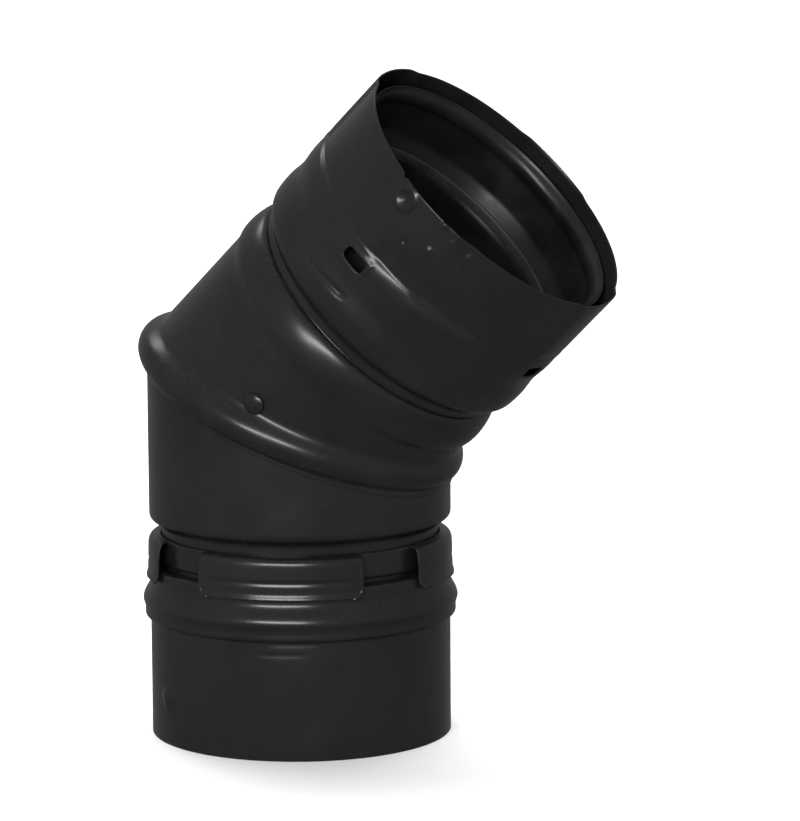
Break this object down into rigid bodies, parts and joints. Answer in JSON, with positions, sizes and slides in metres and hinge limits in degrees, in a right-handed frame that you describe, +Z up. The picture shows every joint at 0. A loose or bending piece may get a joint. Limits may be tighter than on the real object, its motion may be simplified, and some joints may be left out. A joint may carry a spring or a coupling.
{
  "type": "flue elbow",
  "caption": "Twin-wall 45 degree flue elbow with a beaded mitre seam, a twist-lock mouth and a swivelling twist-lock lower end.",
  "frame": {"origin": "under the middle of the object's box, on the plane of the lower rim", "axes": "+Z up along the lower leg, +X towards the side that the mouth leans to, the bend lies in the XZ plane"},
  "size_m": [0.145, 0.0942, 0.1967],
  "materials": {
    "black_paint": "satin black stove paint on steel",
    "black_liner": "matt blackened steel liner",
    "spring_steel": "bare spring steel clip",
    "silicone": "heat-resistant black silicone ring",
    "rope_seal": "woven glass-fibre rope"
  },
  "bodies": {
    "elbow": {"casing_lower_gore": "black_paint", "casing_upper_gore": "black_paint", "hook_ring": "black_paint", "mouth_collar": "black_paint", "liner_lower_gore": "black_liner", "liner_upper_gore": "black_liner", "liner_bell": "black_liner", "bell_gasket": "silicone", "seam_rivet_front": "black_paint", "seam_rivet_back": "black_paint", "lower_spacer_1": "spring_steel", "lower_spacer_2": "spring_steel", "lower_spacer_3": "spring_steel", "upper_spacer_1": "spring_steel", "upper_spacer_2": "spring_steel", "upper_spacer_3": "spring_steel"},
    "swivel_end": {"swivel_collar": "black_paint", "swivel_gasket": "rope_seal", "liner_spigot": "black_liner", "spigot_spacer_1": "spring_steel", "spigot_spacer_2": "spring_steel", "spigot_spacer_3": "spring_steel"}
  },
  "joints": [
    {"name": "collar_swivel", "type": "hinge", "parent": "elbow", "child": "swivel_end", "pos_m": [-0.02474, 0, 0.05], "axis": [0, 0, 1], "continuous": true}
  ]
}
